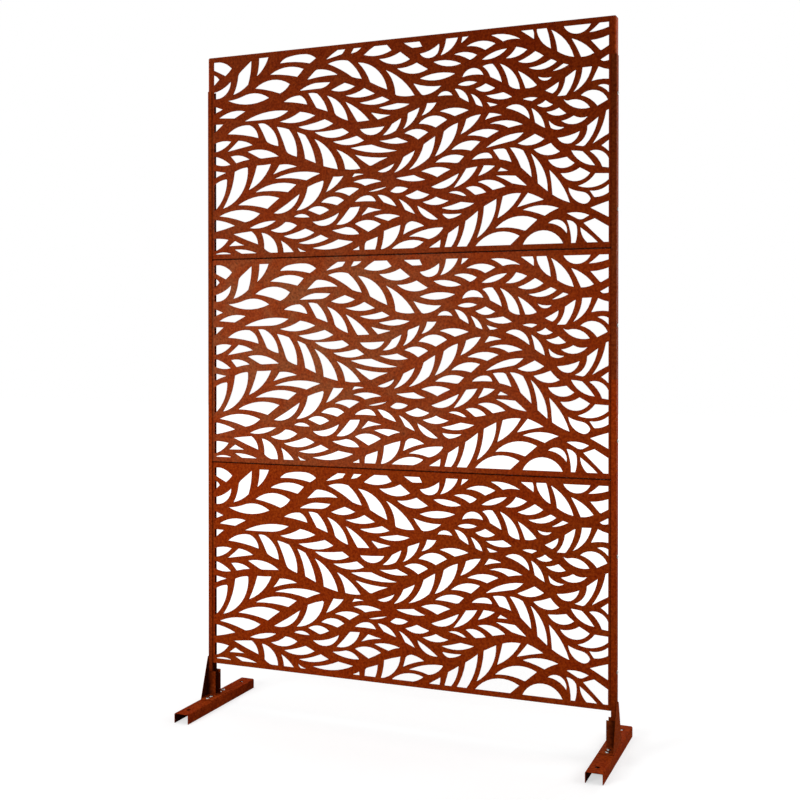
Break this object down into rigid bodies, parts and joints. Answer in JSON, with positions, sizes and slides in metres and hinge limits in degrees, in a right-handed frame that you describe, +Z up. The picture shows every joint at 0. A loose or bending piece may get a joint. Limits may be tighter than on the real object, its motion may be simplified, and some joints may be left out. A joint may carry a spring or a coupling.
{
  "type": "laser cut metal screen",
  "caption": "Free-standing privacy screen of stacked folded sheet panels with laser cut leaf openings, held by channel posts on bracketed feet.",
  "frame": {"origin": "bottom centre of the bounding box, on the ground midway between the feet", "axes": "+Z up; X along the screen's width, right as its flat front is seen; -Y out of the flat front face, so the folded edges point to +Y"},
  "size_m": [1.23, 0.376, 1.927],
  "materials": {
    "brown_coat": "matte rust brown powder coat on steel sheet",
    "dark_brown_coat": "matte rust brown powder coat on steel sheet, a little darker",
    "zinc": "bright zinc-plated fasteners"
  },
  "bodies": {
    "root": {"top_panel": "dark_brown_coat", "middle_panel": "brown_coat", "bottom_panel": "brown_coat", "left_upper_post": "brown_coat", "right_upper_post": "dark_brown_coat", "left_lower_post": "brown_coat", "right_lower_post": "brown_coat", "left_foot": "brown_coat", "right_foot": "brown_coat", "left_bracket": "brown_coat", "right_bracket": "brown_coat", "top_panel_screws": "zinc", "middle_panel_screws": "zinc", "bottom_panel_screws": "zinc", "top_panel_nuts": "zinc", "middle_panel_nuts": "zinc", "bottom_panel_nuts": "zinc", "left_post_screws": "zinc", "right_post_screws": "zinc", "left_post_nuts": "zinc", "right_post_nuts": "zinc", "left_bracket_bolts": "zinc", "right_bracket_bolts": "zinc", "left_bracket_nuts": "zinc", "right_bracket_nuts": "zinc"}
  },
  "joints": []
}
